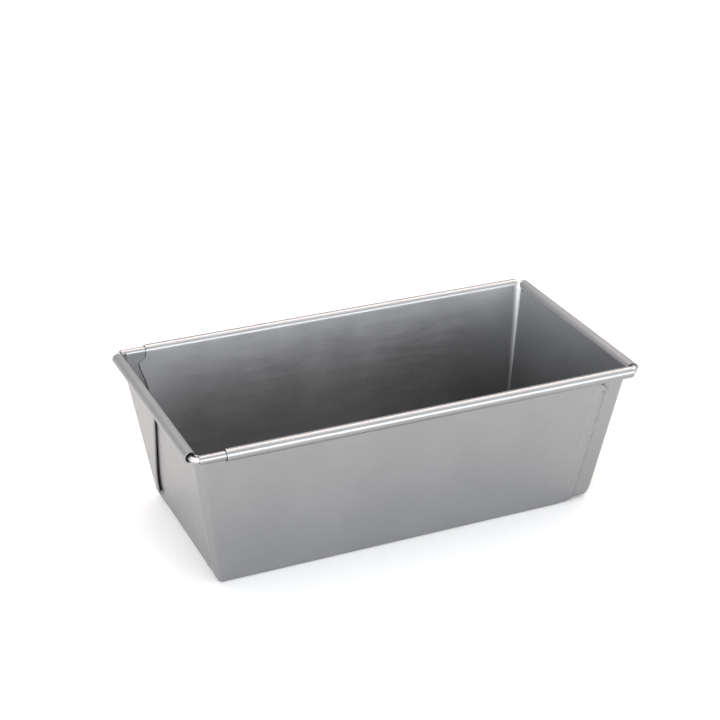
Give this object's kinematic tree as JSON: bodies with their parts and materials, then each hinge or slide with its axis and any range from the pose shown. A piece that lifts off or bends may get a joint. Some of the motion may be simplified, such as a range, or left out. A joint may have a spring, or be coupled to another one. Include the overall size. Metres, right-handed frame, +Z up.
{
  "type": "extendable loaf pan",
  "caption": "Extendable loaf pan: two folded sheet steel half pans with rolled rims, one sliding inside the other to lengthen it.",
  "frame": {"origin": "on the table, under the middle of the closed pan's outline", "axes": "+X along the pan, the way the inner half slides out; +Y across it; +Z up"},
  "size_m": [0.22, 0.1156, 0.0737],
  "materials": {
    "coated_steel": "satin silver-grey",
    "wire_steel": "bright drawn"
  },
  "bodies": {
    "outer_half": {"outer_shell": "coated_steel", "outer_rim_wire": "wire_steel"},
    "inner_half": {"inner_shell": "coated_steel", "inner_rim_wire": "wire_steel"}
  },
  "joints": [
    {"name": "extension_slide", "type": "slide", "parent": "outer_half", "child": "inner_half", "axis": [1, 0, 0], "range_m": [0, 0.1325]}
  ]
}
